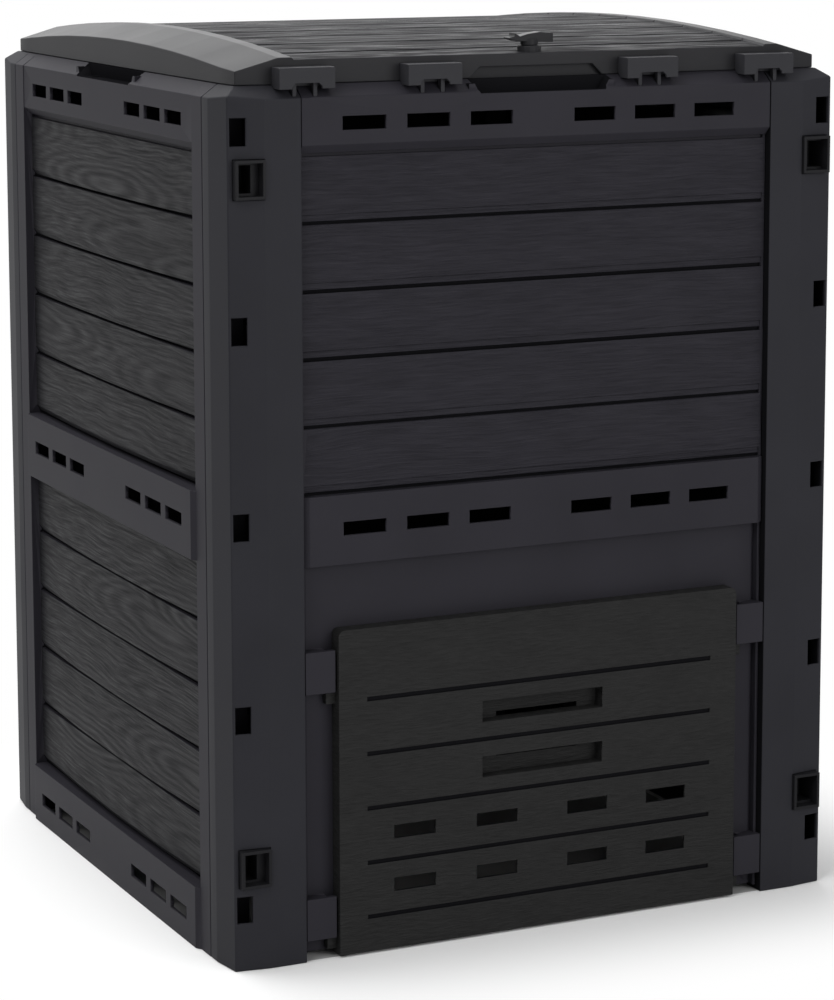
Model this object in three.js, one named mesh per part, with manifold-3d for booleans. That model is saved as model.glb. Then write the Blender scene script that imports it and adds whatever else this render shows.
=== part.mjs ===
// Garden compost bin: a square bin of moulded plastic with four corner posts, four plank-effect
// walls, a lift-out emptying door at the foot of the front wall and a shallow arched lid.
// The lid hooks over eight loops on the rim: the four at the back are its hinge, the four at the
// front are its catches. A lever on the lid turns a pawl under the rim against the wind.
//
// Millimetres. X runs to the right along the front, Y to the back and Z up.
// The origin is on the ground at the middle of the footprint.

import * as THREE from 'three';
import { mergeVertices, toCreasedNormals } from 'three/addons/utils/BufferGeometryUtils.js';
import Module from 'manifold-3d';

const wasm = await Module();
wasm.setup();

// Body
const bodyWidth = 610; // over the corner posts, both ways
const postHeight = 768; // ground to the top of the posts' upright faces
const rimRise = 11; // climb of the bevelled rim from the posts' faces to the lid's seat
const rimBevel = 15; // width of that bevel in plan
const rimSeat = 5; // flat part of the rim that carries the lid
const skin = 3.5; // wall of the bands
const boardSkin = 2.6; // wall of the boards
const postSkin = 3; // wall of the posts
const seatGap = 0.3; // between pieces that touch
const jointGap = 0.5; // between a post and the walls beside it
const overrun = 2; // how far a cut runs past the face it leaves

// Corner posts
const frontLeg = 71.5; // face towards the front or the back
const sideLeg = 52; // face towards the left or the right
const returnDepth = 26; // how far a post's edge turns inward
const cornerInset = 4.5; // how far the leaning faces carry the corner inward
const leanStart = 37; // where the leaning faces begin, from the corner
const postSlotWidth = 14;
const postSlotHeight = 24;
const postSlotOffset = 14; // slot's middle from the corner
const postSlotFirst = 55.4; // middle of the lowest slot above the ground
const postSlotLast = 27.4; // middle of the highest slot below the top of the posts' faces
const postSlotCount = 5;
const gussetReach = 20; // stiffening webs in the posts' corners, halfway between the slots
const gussetThickness = 3;

// Locks that are pushed through the posts against the side walls' hooks
const lockWidth = 28;
const lockHeight = 34;
const lockWall = 2.8; // round the lock's mouth
const lockMouth = 11; // depth of the mouth
const lockHoleWidth = 15; // deeper part, on the corner's side of the mouth
const lockHoleHeight = 24;
const lockProud = 5.5; // stands out of the post's face
const lockOffset = 23; // middle from the corner
const lockLow = 93;
const lockHighDrop = 68; // upper locks below the top of the posts' faces
const lockFloor = 3;
const lockFlange = 3; // border and thickness of the collar behind the post's skin

// Walls
const hookThickness = 3;
const hookReach = 17.5; // how far a wall's hook goes into the post
const hookTurn = 16; // how far the hook's end turns outward again
const hookTopGap = 6; // below the top of the post's upright faces
const stileWidth = 23.5; // plain upright at each end of a side wall
const bottomBandTop = 57;
const midBandBottom = 357;
const midBandHeight = 62.5;
const topBandHeight = 51;
const boardsPerField = 5;
const boardDepth = 8; // boards behind the posts' faces
const bandProud = 3.5; // middle and bottom bands in front of the posts' faces
const topBandDepth = 0.6; // top band behind the posts' faces
const frontBandDepth = 3; // front wall's middle band behind the posts' faces
const plainDepth = 14; // front wall round the door, behind the posts' faces
const frontFoot = 5; // front wall's bottom edge above the ground
const boardBevel = 5; // height of the bevel along a bowed board's lower edge
const rebateHeight = 5.7; // rebate along a straight board's lower edge
const rebateDepth = 1.2;
const bandBevel = 7; // height of the bevel along the top band's lower edge
const bevelDepth = 3; // how far a bevel falls back
const grooveHeight = 3;
const grooveDepth = 11.5; // groove's floor behind the posts' faces
const bandEndFall = 3.5; // how far a middle or bottom band falls back at its ends
const bandEndLength = 6; // length of that slope
const boardBow = 5.5; // how far a board's lower edge bows out at mid-length
const bowSegments = 4;
const bite = 2; // how far a joined piece sinks into what carries it

// Air slots in the bands
const slotHeight = 12;
const slotsPerSide = 3;
const frontSlotFirst = 51.3; // middle of the innermost slot from the wall's middle
const frontSlotLast = 58.9; // middle of the outermost slot from the end of the wall's face
const frontSlotWeb = 20.4; // between two slots
const sideSlotFirst = 77.85;
const sideSlotLast = 70.65;
const sideSlotWeb = 12;
const topSlotDrop = 22.6; // slots' middle below the top of the posts' faces
const midSlotRise = 32; // slots' middle above the foot of the middle band
const bottomSlotLevel = 26;

// Finger recesses in the rim
const recessDepth = 12; // floor below the rim's seat
const frontRecessHalf = 62; // half length at the floor
const sideRecessHalf = 69.5;
const recessSplay = 6.5; // how much longer each end is at the top
const pocketWall = 4; // floor behind a recess
const recessRib = 6; // thickness of the upright stop in a side recess
const recessRibOffset = 49; // towards the back, from the middle of the recess

// Emptying door
const doorEdge = 30.5; // door's edge from the end of the front wall's face
const doorBottom = 2;
const doorTop = 299;
const doorProud = 2; // door's face in front of the posts' faces
const doorSkin = 3;
const doorRadius = 6;
const doorTravel = 50; // lift that frees the door
const doorGrooveEnd = 27.5; // groove's end from the door's edge
const doorGrooveHeight = 3.5;
const doorGrooveCut = 1.8;
const doorGrooveFirst = 34.4;
const doorGroovePitch = 50;
const doorGrooveCount = 5;
const ventWidth = 41;
const ventHeight = 12;
const ventShares = [0.2286, 0.6346]; // middles from the door's middle, as shares of its half width
const ventLow = 61; // middle of the lower row
const ventPitch = 48.8;
const gripHalf = 61;
const gripHeight = 19.2;
const gripDepth = 13;
const gripBorder = 3; // thickness round a grip's recess
const gripSlotHalf = 41;
const gripSlotHeight = 4.6;
const lowerGripTop = 168.4;
const gripBar = 32; // bar between the two grips
const doorwayLap = 12.5; // how far the door laps over the doorway's sides
const doorwayTopLap = 14;
const doorwayBottom = 25;
const doorRibHeight = 200; // upright ribs that guide the door in the doorway
const doorRibThickness = 3.5;

// Tabs that hold the door
const tabGap = 1.9; // between a tab's edge and the door's
const tabDepth = 0.5; // tab's face behind the posts' faces
const tabPlate = 5; // thickness of the part that laps over the door's lug
const tabHeight = 38;
const tabLow = 19; // bottom of the lower tabs
const tabDrop = 17.6; // top of the upper tabs below the door's top
const lugReach = 9; // how far the door's lugs stand out of its edge

// Lid
const lidInset = rimBevel; // lid's faces behind the posts' faces
const lidSkin = 4;
const lidLeanStart = 32; // where the leaning faces begin, from the lid's corner
const lidCornerInset = 2.2; // how far the leaning faces carry the corner inward
const lidRadius = 2940; // radius of the arch
const ridgeRise = 37.2; // top of the arch above the lid's foot, where the deck meets the end borders
const borderWidth = 41.5; // sloping border at each end
const borderFall = 11.8; // how far the border falls to the end face
const ridgeWidth = 13;
const deckDrop = 2; // deck below the ridge
const plankEdge = 38; // outermost groove from the lid's front or back face
const plankGrooves = 5; // each side of the middle, the innermost half a pitch away
const plankGrooveHalf = 2.2;
const plankGrooveCut = 2.2;
const lipThickness = 2.5;
const lipGap = 0.8; // locating lip inside the rim
const lipDrop = 3; // lip's lower edge below the rim's seat
const lidNotchHeight = 9.7;
const lidNotchHalf = 56; // at the top
const lidNotchSplay = 10;
const archSlices = 8; // flat strips that make up the arch's inside

// Loops on the rim, and the clips on the lid that hook over them
const loopFromCorner = 76; // outer loops
const loopFromMiddle = 108; // inner loops
const barDepth = 5.7; // bar's axis behind the posts' faces
const barRise = 8; // bar's axis above the rim's seat
const barRadius = 3;
const loopGap = 16; // between a loop's prongs
const prongThickness = 3.5;
const prongWidth = 6;
const prongDrop = 30; // prong's foot below the bar's axis
const clipWidth = 52;
const clipDepth = 18;
const clipWall = 3;
const hingeRise = 10; // top of a hinge clip above the bar's axis
const catchRise = 7.5; // top of a catch clip above the bar's axis
const clipDrop = 11; // clip's lower edge below the bar's axis
const clipEdge = 2; // rounding of the clip's front edge
const clipUnderGap = 1; // between a clip's underside and the rim's bevel
const clipNotchHalf = 14;
const catchNotchTop = -6; // top of a catch clip's notch above the bar's axis
const hingeNotchTop = 6; // top of a hinge clip's notch above the bar's axis
const hingeRadius = 11.3; // a hinge clip's rounded underside
const saddleWidth = 13;
const saddleDrop = 4; // foot of a catch clip's saddle below the bar's axis
const knuckleRadius = 7;
const knuckleMouth = 4.6; // opening that snaps over the bar
const pegWidth = 16;
const pegHeight = 5;
const pegRise = 2; // middle of the peg above the bar's axis

// Lever and pawl
const latchBack = 30; // axis behind the posts' faces
const spindleRadius = 4.5;
const latchBossRadius = 11;
const latchBossRise = 2.4; // top of the boss above the arch
const leverHub = 8; // radius of the lever's hub
const leverDepth = 12; // front to back
const leverReach = 22.5; // from the axis to the tip
const leverHeight = 12; // above the boss
// Lever seen from the front: across as shares of its reach, and up as shares of its height
const leverShares = [
  [-1, 0.52],
  [-0.71, 0.35],
  [0.93, 0.22],
  [0.93, 0.9],
  [0.36, 1],
  [-0.18, 0.87],
  [-0.53, 0.7],
  [-0.76, 0.95],
  [-0.78, 0.68],
  [-1, 0.62],
];
const pawlGap = 2; // between the pawl and the underside of the finger recess
const pawlThickness = 6;
const pawlWidth = 14;
const pawlReach = 21;
const screwRadius = 2.5;
const screwHeadRadius = 4.5;
const screwHeadHeight = 3;
const screwLength = 14;
const latchGap = 0.4;

const round = 14; // facets of a small round part
const cornerFacets = 3; // facets of a rounded corner
const creaseAngle = Math.PI / 6; // edges sharper than this are shaded as edges

// Values worked out from the ones above
const half = bodyWidth / 2;
const frontHalf = half - frontLeg - jointGap; // half length of a front or back wall's face
const sideHalf = half - sideLeg - jointGap; // half length of a side wall's face
const rimTop = postHeight + rimRise;
const rimBack = rimBevel + rimSeat;
const hookFront = returnDepth + seatGap;
const hookBack = hookFront + hookThickness;
const hookTop = postHeight - hookTopGap;
const postSlotPitch = (postHeight - postSlotLast - postSlotFirst) / (postSlotCount - 1);
const lockHigh = postHeight - lockHighDrop;
const midBandTop = midBandBottom + midBandHeight;
const topBandBottom = postHeight - topBandHeight;
const topSlotLevel = postHeight - topSlotDrop;
const midSlotLevel = midBandBottom + midSlotRise;
const recessFloor = rimTop - recessDepth;
const doorHalf = frontHalf - doorEdge;
const tabBottoms = [tabLow, doorTop - tabDrop - tabHeight];
const doorwayHalf = doorHalf - doorwayLap;
const lidHalf = half - lidInset;
const lidBottom = rimTop + seatGap;
const ridgeApex = lidBottom + ridgeRise;
const plankPitch = (lidHalf - plankEdge) / (plankGrooves - 1 / 2);
const barOut = half - barDepth;
const barLevel = rimTop + barRise;
const loopOffsets = [loopFromCorner - half, -loopFromMiddle, loopFromMiddle, half - loopFromCorner];
const latchY = -(half - latchBack);
const ridgeLevel = (y) => ridgeApex - (y * y) / (2 * lidRadius);
const latchBossTop = ridgeLevel(latchY) + latchBossRise;
const pawlTop = recessFloor - pocketWall - pawlGap;

const plastic = (color, roughness) => new THREE.MeshStandardMaterial({ color, roughness, metalness: 0 });
const charcoal = '#2f2e33';
const charcoalLight = '#3a3a3c';
const steel = '#8f9194';

// Booleans

function toSolid(geometry) {
  const bare = geometry.clone();
  bare.deleteAttribute('normal');
  bare.deleteAttribute('uv');
  const merged = mergeVertices(bare, 1e-4);
  return new wasm.Manifold(
    new wasm.Mesh({
      numProp: 3,
      vertProperties: new Float32Array(merged.attributes.position.array),
      triVerts: new Uint32Array(merged.index.array),
    }),
  );
}

function toGeometry(solid) {
  const { vertProperties, triVerts } = solid.getMesh();
  const geometry = new THREE.BufferGeometry();
  geometry.setAttribute('position', new THREE.BufferAttribute(Float32Array.from(vertProperties), 3));
  geometry.setIndex(new THREE.BufferAttribute(Uint32Array.from(triVerts), 1));
  return toCreasedNormals(geometry, creaseAngle);
}

const joined = (...solids) => solids.reduce((sum, solid) => sum.add(solid));
const ordered = (a, b) => [Math.min(a, b), Math.max(a, b)];
const mirrored = (points, sign) => points.map(([x, y]) => [sign * x, y]);

// Solids

function block(x0, x1, y0, y1, z0, z1) {
  const geometry = new THREE.BoxGeometry(x1 - x0, y1 - y0, z1 - z0);
  geometry.translate((x0 + x1) / 2, (y0 + y1) / 2, (z0 + z1) / 2);
  return toSolid(geometry);
}

const shapeOf = (points) => new THREE.Shape(points.map(([a, b]) => new THREE.Vector2(a, b)));

function extruded(points, from, to, basis, curveSegments = round) {
  const shape = Array.isArray(points) ? shapeOf(points) : points;
  const settings = { depth: to - from, bevelEnabled: false, curveSegments };
  const geometry = new THREE.ExtrudeGeometry(shape, settings);
  geometry.translate(0, 0, from);
  geometry.applyMatrix4(basis);
  return toSolid(geometry);
}

const axis = (x, y, z) => new THREE.Vector3(x, y, z);
const alongX = new THREE.Matrix4().makeBasis(axis(0, 1, 0), axis(0, 0, 1), axis(1, 0, 0));
const alongY = new THREE.Matrix4().makeBasis(axis(1, 0, 0), axis(0, 0, 1), axis(0, -1, 0));
const alongZ = new THREE.Matrix4();

const prismX = (points, x0, x1) => extruded(points, x0, x1, alongX); // points are [y, z]
const prismY = (points, y0, y1) => extruded(points, -y1, -y0, alongY); // points are [x, z]
const prismZ = (points, z0, z1) => extruded(points, z0, z1, alongZ); // points are [x, y]

function cylinderZ(radius, x, y, z0, z1) {
  const geometry = new THREE.CylinderGeometry(radius, radius, z1 - z0, round);
  geometry.rotateX(Math.PI / 2);
  geometry.translate(x, y, (z0 + z1) / 2);
  return toSolid(geometry);
}

function cylinderX(radius, y, z, x0, x1) {
  const geometry = new THREE.CylinderGeometry(radius, radius, x1 - x0, round);
  geometry.rotateZ(Math.PI / 2);
  geometry.translate((x0 + x1) / 2, y, z);
  return toSolid(geometry);
}

// A closed body through like outlines, one at each place along an axis
function lofted(places, outlineAt, basis) {
  const flat = (points) => points.map(([a, b]) => new THREE.Vector2(a, b));
  let outlines = places.map((at) => outlineAt(at));
  if (THREE.ShapeUtils.isClockWise(flat(outlines[0]))) {
    outlines = outlines.map((points) => [...points].reverse());
  }
  const count = outlines[0].length;
  const last = (places.length - 1) * count;
  const positions = places.flatMap((at, i) => outlines[i].flatMap(([a, b]) => [a, b, at]));
  const indices = [];
  const capOf = (points) => THREE.ShapeUtils.triangulateShape(flat(points), []);
  for (const [a, b, c] of capOf(outlines[0])) {
    indices.push(c, b, a);
  }
  for (const [a, b, c] of capOf(outlines[places.length - 1])) {
    indices.push(last + a, last + b, last + c);
  }
  for (let near = 0; near < last; near += count) {
    const far = near + count;
    for (let k = 0; k < count; k += 1) {
      const next = (k + 1) % count;
      indices.push(near + k, near + next, far + next, near + k, far + next, far + k);
    }
  }
  const geometry = new THREE.BufferGeometry();
  geometry.setAttribute('position', new THREE.Float32BufferAttribute(positions, 3));
  geometry.setIndex(indices);
  geometry.applyMatrix4(basis);
  return toSolid(geometry);
}

// Group

const bin = new THREE.Group();
bin.name = 'compost_bin';

function add(parent, name, solid, material) {
  const mesh = new THREE.Mesh(toGeometry(solid), material);
  mesh.name = name;
  parent.add(mesh);
  return mesh;
}

// Walls. A wall is drawn in its own frame: x along its face, y inward from the posts' faces, z up.

const boardField = (bottom, top) => ({ kind: 'boards', bottom, top });
const band = (bottom, top, depth) => ({ kind: 'band', bottom, top, depth });

const closedZones = [
  band(0, bottomBandTop, -bandProud),
  boardField(bottomBandTop, midBandBottom),
  band(midBandBottom, midBandTop, -bandProud),
  boardField(midBandTop, topBandBottom),
  band(topBandBottom, postHeight, topBandDepth),
];
const frontZones = [
  band(frontFoot, midBandBottom, plainDepth),
  band(midBandBottom, midBandTop, frontBandDepth),
  boardField(midBandTop, topBandBottom),
  band(topBandBottom, postHeight, topBandDepth),
];

// How far a band falls back at x. The top band runs on level to its ends.
function endFall(zone, x, reach) {
  if (zone.bottom === topBandBottom) {
    return 0;
  }
  return bandEndFall * Math.max(0, 1 - (reach - Math.abs(x)) / bandEndLength);
}

// Outside of one board, from the groove at its foot to its top edge
function boardLine(foot, pitch, bow, bowed) {
  const lower = foot + grooveHeight;
  const groove = [[grooveDepth, foot], [grooveDepth, lower]];
  const top = [boardDepth, foot + pitch];
  if (bowed) {
    const edge = boardDepth - bow;
    return [...groove, [edge + bevelDepth, lower], [edge, lower + boardBevel], top];
  }
  const step = boardDepth + rebateDepth;
  return [...groove, [step, lower], [step, lower + rebateHeight], [boardDepth, lower + rebateHeight], top];
}

// Outside of the wall from its foot to the rim
function outerLine(zones, bow, fall, bowed) {
  const points = [];
  for (const zone of zones) {
    if (zone.kind === 'boards') {
      const pitch = (zone.top - zone.bottom) / boardsPerField;
      for (let n = 0; n < boardsPerField; n += 1) {
        points.push(...boardLine(zone.bottom + n * pitch, pitch, bow, bowed));
      }
    } else if (zone.bottom === topBandBottom) {
      points.push([grooveDepth, zone.bottom], [grooveDepth, zone.bottom + grooveHeight]);
      points.push([boardDepth, zone.bottom + grooveHeight]);
      points.push([zone.depth, zone.bottom + grooveHeight + bandBevel], [zone.depth, zone.top]);
    } else {
      points.push([zone.depth + fall(zone), zone.bottom], [zone.depth + fall(zone), zone.top]);
    }
  }
  points.push([rimBevel, rimTop], [rimBack, rimTop]);
  return points;
}

// Inside of the wall from its foot to the rim
function innerLine(zones, bow, fall) {
  const grooveInside = grooveDepth + boardSkin;
  const edgeFoot = grooveHeight + boardSkin;
  const insideFoot = (zone) => (zone.kind === 'boards' ? grooveInside : zone.depth + fall(zone) + skin);
  const points = [[insideFoot(zones[0]), zones[0].bottom]];
  zones.forEach((zone, i) => {
    if (zone.bottom === topBandBottom) {
      const inside = zone.depth + skin;
      points.push([grooveInside, zone.bottom + edgeFoot], [inside, zone.bottom + edgeFoot + bandBevel]);
      points.push([inside, postHeight - skin]);
    } else if (i > 0) {
      const below = insideFoot(zones[i - 1]);
      const above = insideFoot(zone);
      const step = zone.bottom + (above < below ? skin : -skin);
      points.push([below, step], [above, step]);
    }
    if (zone.kind === 'boards') {
      const pitch = (zone.top - zone.bottom) / boardsPerField;
      for (let n = 0; n < boardsPerField; n += 1) {
        const foot = zone.bottom + n * pitch;
        points.push([grooveInside, foot + edgeFoot]);
        points.push([boardDepth - bow + boardSkin, foot + edgeFoot + boardBevel]);
      }
    }
  });
  points.push([rimBevel, rimTop - skin], [rimBack, rimTop - skin]);
  return points;
}

// Sheet of a wall. Its boards' lower edges bow outward only where bowed is true.
function wallSheet(zones, reach, bowed) {
  const level = reach - bandEndLength;
  const count = bowed ? bowSegments : 1;
  const places = Array.from({ length: count + 1 }, (_, i) => level * ((2 * i) / count - 1));
  const outlineAt = (x) => {
    const bow = bowed ? boardBow * (1 - (x / reach) ** 2) : 0;
    const fall = (zone) => endFall(zone, x, reach);
    return [...outerLine(zones, bow, fall, bowed), ...innerLine(zones, bow, fall).reverse()];
  };
  return lofted([-reach, ...places, reach], outlineAt, alongX);
}

// The wall's end goes behind the post's edge and hooks outward there.
function wallHook(sign, end, foot) {
  const reach = end + hookReach;
  const points = [
    [end - hookThickness, boardDepth],
    [end, boardDepth],
    [end, hookFront],
    [reach, hookFront],
    [reach, hookBack - hookTurn],
    [reach + hookThickness, hookBack - hookTurn],
    [reach + hookThickness, hookBack],
    [end - hookThickness, hookBack],
  ];
  return prismZ(mirrored(points, sign), foot, hookTop);
}

// A side wall's plain upright, flush with the posts, and its step down to the boards
function stile(sign, end) {
  const inner = end - stileWidth;
  const face = [
    [0, 0],
    [0, postHeight],
    [rimBevel, rimTop],
    [rimBack, rimTop],
    [rimBack, rimTop - skin],
    [rimBevel, rimTop - skin],
    [skin, postHeight - skin],
    [skin, 0],
  ];
  const step = (x0, x1) => block(...ordered(sign * x0, sign * x1), 0, grooveDepth + skin, 0, hookTop);
  return joined(
    prismX(face, ...ordered(sign * inner, sign * end)),
    step(inner, inner + hookThickness),
    step(end - hookThickness, end),
  );
}

// Two groups of slots at each level, laid out between the wall's middle and its end
function slotCuts(levels, first, last, web) {
  const pitch = (last - first) / (slotsPerSide - 1);
  const width = pitch - web;
  const cuts = [];
  for (const level of levels) {
    for (let n = 0; n < slotsPerSide; n += 1) {
      for (const sign of [-1, 1]) {
        const middle = sign * (first + n * pitch);
        const [x0, x1] = [middle - width / 2, middle + width / 2];
        const [z0, z1] = [level - slotHeight / 2, level + slotHeight / 2];
        cuts.push(block(x0, x1, -bandProud - overrun, rimBack, z0, z1));
      }
    }
  }
  return joined(...cuts);
}

// A recess in the rim for the fingers, with a floor and a back wall behind it
function recessCut(reach) {
  const top = rimTop + overrun;
  const splay = (recessSplay * (top - recessFloor)) / (rimTop - recessFloor);
  const outline = [
    [-reach, recessFloor],
    [reach, recessFloor],
    [reach + splay, top],
    [-reach - splay, top],
  ];
  return prismY(outline, -overrun, rimBevel);
}

function recessPocket(reach) {
  const end = reach + recessSplay + pocketWall;
  const foot = recessFloor - pocketWall;
  return joined(
    block(-end, end, topBandDepth, rimBack, foot, recessFloor),
    block(-end, end, rimBevel, rimBack, foot, rimTop),
    block(-end, overrun - reach, skin, rimBack, foot, rimTop - skin),
    block(reach - overrun, end, skin, rimBack, foot, rimTop - skin),
  );
}

// Sockets for the loops' prongs, where shift is the place of the wall's middle
function loopSockets(shift) {
  const x = prongThickness / 2 + seatGap;
  const y = prongWidth / 2 + seatGap;
  const socketFoot = barLevel - prongDrop - overrun;
  const middles = loopOffsets.flatMap((offset) =>
    [-1, 1].map((sign) => shift + offset + (sign * (loopGap + prongThickness)) / 2),
  );
  const sockets = middles.map((middle) =>
    block(middle - x, middle + x, barDepth - y, barDepth + y, socketFoot, barLevel),
  );
  return joined(...sockets);
}

function sideWall(towardsBack) {
  const wall = joined(
    wallSheet(closedZones, sideHalf - stileWidth + hookThickness / 2, true),
    stile(-1, sideHalf),
    stile(1, sideHalf),
    wallHook(-1, sideHalf, 0),
    wallHook(1, sideHalf, 0),
    recessPocket(sideRecessHalf),
  );
  const levels = [bottomSlotLevel, midSlotLevel, topSlotLevel];
  const slots = slotCuts(levels, sideSlotFirst, sideHalf - sideSlotLast, sideSlotWeb);
  const ribMiddle = towardsBack * recessRibOffset;
  const [x0, x1] = [ribMiddle - recessRib / 2, ribMiddle + recessRib / 2];
  const rib = block(x0, x1, rimBevel / 2, rimBevel + bite, recessFloor - bite, postHeight);
  return wall.subtract(joined(slots, recessCut(sideRecessHalf))).add(rib);
}

function backWall() {
  const wall = joined(
    wallSheet(closedZones, frontHalf, true),
    wallHook(-1, frontHalf, 0),
    wallHook(1, frontHalf, 0),
  );
  const levels = [bottomSlotLevel, midSlotLevel, topSlotLevel];
  const slots = slotCuts(levels, frontSlotFirst, frontHalf - frontSlotLast, frontSlotWeb);
  return wall.subtract(joined(slots, loopSockets(0)));
}

// One of the tabs beside the doorway: a plate that laps over the door's lug, on a spacer
function doorTab(sign, bottom) {
  const tabInner = doorHalf + tabGap;
  const spacerInner = doorHalf + lugReach + jointGap;
  const points = [
    [tabInner, tabDepth],
    [frontHalf, tabDepth],
    [frontHalf, plainDepth + bite],
    [spacerInner, plainDepth + bite],
    [spacerInner, tabDepth + tabPlate],
    [tabInner, tabDepth + tabPlate],
  ];
  return prismZ(mirrored(points, sign), bottom, bottom + tabHeight);
}

function frontWall() {
  const tabs = [-1, 1].flatMap((sign) => tabBottoms.map((bottom) => doorTab(sign, bottom)));
  const wall = joined(
    wallSheet(frontZones, frontHalf, false),
    wallHook(-1, frontHalf, frontFoot),
    wallHook(1, frontHalf, frontFoot),
    recessPocket(frontRecessHalf),
    ...tabs,
  );
  const levels = [midSlotLevel, topSlotLevel];
  const slots = slotCuts(levels, frontSlotFirst, frontHalf - frontSlotLast, frontSlotWeb);
  const doorwayTop = doorTop - doorwayTopLap;
  const doorway = block(-doorwayHalf, doorwayHalf, 0, hookBack, doorwayBottom, doorwayTop);
  return wall.subtract(joined(slots, recessCut(frontRecessHalf), loopSockets(0), doorway));
}

const wallMaterial = () => plastic(charcoal, 0.55);

function placedWall(name, turn, solid) {
  const holder = new THREE.Group();
  holder.rotation.z = turn;
  holder.position.set(half * Math.sin(turn), -half * Math.cos(turn), 0);
  bin.add(holder);
  add(holder, name, solid, wallMaterial());
}

placedWall('front_wall', 0, frontWall());
placedWall('right_wall', Math.PI / 2, sideWall(1));
placedWall('back_wall', Math.PI, backWall());
placedWall('left_wall', -Math.PI / 2, sideWall(-1));

// Corner posts. A post is drawn with its corner at the origin and its longer face along x.

// The corner point and the start of the leaning face, at a depth below the post's surface
function leanAt(depth) {
  const slope = (leanStart - cornerInset) / cornerInset;
  return { corner: cornerInset + depth, start: leanStart + depth / slope };
}

function cornerPost(sign) {
  const outer = leanAt(0);
  const inner = leanAt(postSkin);
  const plan = [
    [outer.corner, outer.corner],
    [outer.start, 0],
    [frontLeg, 0],
    [frontLeg, returnDepth],
    [frontLeg - postSkin, returnDepth],
    [frontLeg - postSkin, postSkin],
    [inner.start, postSkin],
    [inner.corner, inner.corner],
    [postSkin, inner.start],
    [postSkin, sideLeg - postSkin],
    [returnDepth, sideLeg - postSkin],
    [returnDepth, sideLeg],
    [0, sideLeg],
    [0, outer.start],
  ];
  const capPlan = [
    [outer.corner, outer.corner],
    [outer.start, 0],
    [frontLeg, 0],
    [frontLeg, rimBack],
    [rimBack, rimBack],
    [rimBack, sideLeg],
    [0, sideLeg],
    [0, outer.start],
  ];
  const post = prismZ(mirrored(plan, sign), 0, postHeight);
  const slope = rimRise / rimBevel;
  const bevel = [
    [-overrun, postHeight - overrun * slope],
    [rimBevel, rimTop],
    [rimBevel, rimTop + overrun],
    [-overrun, rimTop + overrun],
  ];
  const wide = frontLeg + overrun;
  const bevelCuts = joined(prismX(bevel, -wide, wide), prismY(mirrored(bevel, sign), -overrun, wide));
  const cap = prismZ(mirrored(capPlan, sign), postHeight - postSkin, rimTop).subtract(bevelCuts);
  const gusset = [
    [inner.corner - bite, inner.corner - bite],
    [inner.corner - bite + gussetReach, inner.corner - bite],
    [inner.corner - bite, inner.corner - bite + gussetReach],
  ];
  const webs = [];
  for (let n = 1; n < postSlotCount; n += 1) {
    const level = postSlotFirst + (n - 1 / 2) * postSlotPitch;
    webs.push(prismZ(mirrored(gusset, sign), level - gussetThickness / 2, level + gussetThickness / 2));
  }
  const cuts = [loopSockets(sign * half)];
  const slotMiddle = sign * postSlotOffset;
  for (let n = 0; n < postSlotCount; n += 1) {
    const level = postSlotFirst + n * postSlotPitch;
    const [x0, x1] = [slotMiddle - postSlotWidth / 2, slotMiddle + postSlotWidth / 2];
    const [z0, z1] = [level - postSlotHeight / 2, level + postSlotHeight / 2];
    cuts.push(block(x0, x1, -overrun, inner.corner, z0, z1));
  }
  for (const level of [lockLow, lockHigh]) {
    const [w, h] = [lockWidth / 2 + seatGap, lockHeight / 2 + seatGap];
    const middle = sign * lockOffset;
    cuts.push(block(middle - w, middle + w, -overrun, inner.corner, level - h, level + h));
  }
  return joined(post, cap, ...webs).subtract(joined(...cuts));
}

// A lock, drawn about its own level: a sleeve through the post's skin, with a collar behind the skin
function cornerLock(sign) {
  const face = cornerInset * (1 - (lockOffset - cornerInset) / (leanStart - cornerInset)) - lockProud;
  const end = sideLeg - hookReach - hookThickness + jointGap - seatGap;
  const [w, h] = [lockWidth / 2, lockHeight / 2];
  const middle = sign * lockOffset;
  const collar = cornerInset + postSkin + seatGap;
  const [x0, x1] = ordered(sign * (lockOffset - w), sign * (lockOffset + w + lockFlange));
  const lock = joined(
    block(middle - w, middle + w, face, end, -h, h),
    block(x0, x1, collar, collar + lockFlange, -h - lockFlange, h + lockFlange),
  );
  const [mouthInner, mouthOuter] = [lockOffset - w + lockWall, lockOffset + w - lockWall];
  const mouthHalf = h - lockWall;
  const mouth = ordered(sign * mouthInner, sign * mouthOuter);
  const hole = ordered(sign * mouthInner, sign * (mouthInner + lockHoleWidth));
  const holeHalf = lockHoleHeight / 2;
  return lock
    .subtract(block(...mouth, face - overrun, face + lockMouth, -mouthHalf, mouthHalf))
    .subtract(block(...hole, face + lockMouth - overrun, end - lockFloor, -holeHalf, holeHalf));
}

const corners = [
  ['front_left', 1, -half, -half, 0],
  ['front_right', -1, half, -half, 0],
  ['back_right', 1, half, half, Math.PI],
  ['back_left', -1, -half, half, Math.PI],
];
for (const [name, sign, x, y, turn] of corners) {
  const holder = new THREE.Group();
  holder.position.set(x, y, 0);
  holder.rotation.z = turn;
  bin.add(holder);
  add(holder, `${name}_post`, cornerPost(sign), plastic(charcoalLight, 0.5));
  for (const [place, level] of [['lower', lockLow], ['upper', lockHigh]]) {
    const lock = add(holder, `${name}_${place}_lock`, cornerLock(sign), plastic(charcoalLight, 0.5));
    lock.position.z = level;
  }
}

// Emptying door, drawn in the front wall's frame

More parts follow.
